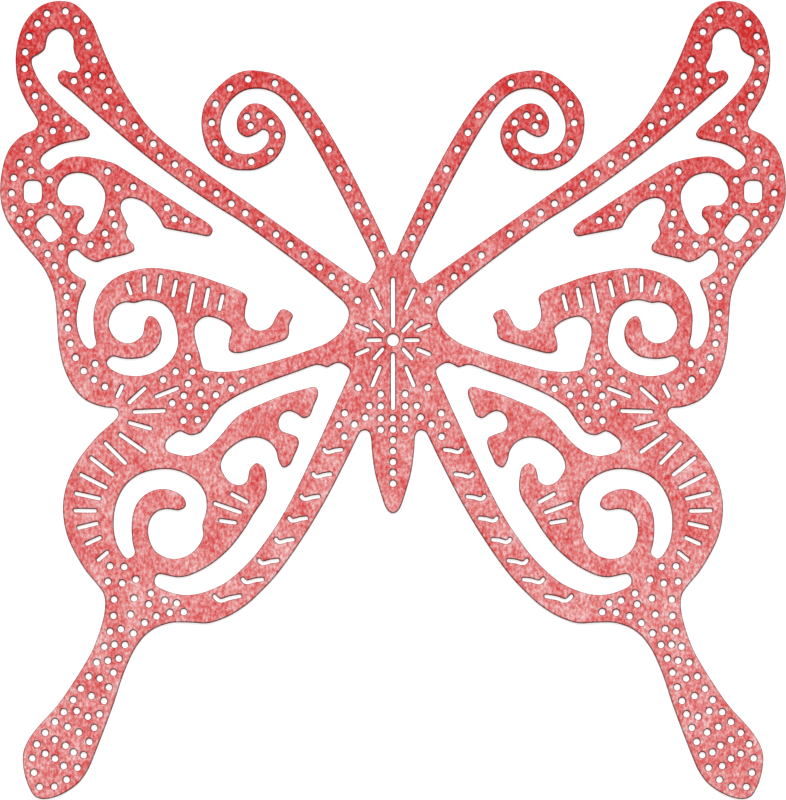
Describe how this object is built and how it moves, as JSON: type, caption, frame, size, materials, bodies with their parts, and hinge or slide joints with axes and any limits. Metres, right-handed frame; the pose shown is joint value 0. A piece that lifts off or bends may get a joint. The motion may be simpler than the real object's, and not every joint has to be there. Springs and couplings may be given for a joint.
{
  "type": "die-cut paper butterfly",
  "caption": "Flat swallowtail butterfly cut from one sheet of card, with openwork wings and curled antennae, creased so that wings and antennae fold up.",
  "frame": {"origin": "centre of the thorax hole, on the underside of the card", "axes": "+Z out of the printed face, +Y towards the antennae, X across the wings"},
  "size_m": [0.1124, 0.1141, 0.0003],
  "materials": {
    "body_card": "matt mottled card",
    "wing_card": "matt mottled card",
    "antenna_card": "matt mottled card"
  },
  "bodies": {
    "thorax": {"body_panel": "body_card"},
    "left_wing": {"left_forewing": "wing_card", "left_hindwing": "wing_card"},
    "right_wing": {"right_forewing": "wing_card", "right_hindwing": "wing_card"},
    "left_antenna": {"left_antenna": "antenna_card"},
    "right_antenna": {"right_antenna": "antenna_card"}
  },
  "joints": [
    {"name": "left_wing_fold", "type": "hinge", "parent": "thorax", "child": "left_wing", "pos_m": [-0.0061, 0, 0.00035], "axis": [0, 1, 0], "range_deg": [0, 85]},
    {"name": "right_wing_fold", "type": "hinge", "parent": "thorax", "child": "right_wing", "pos_m": [0.0061, 0, 0.00035], "axis": [0, -1, 0], "range_deg": [0, 85]},
    {"name": "left_antenna_lift", "type": "hinge", "parent": "thorax", "child": "left_antenna", "pos_m": [-0.0022, 0.0133, 0.00035], "axis": [1, 0, 0], "range_deg": [0, 30]},
    {"name": "right_antenna_lift", "type": "hinge", "parent": "thorax", "child": "right_antenna", "pos_m": [0.0022, 0.0133, 0.00035], "axis": [1, 0, 0], "range_deg": [0, 30]}
  ]
}
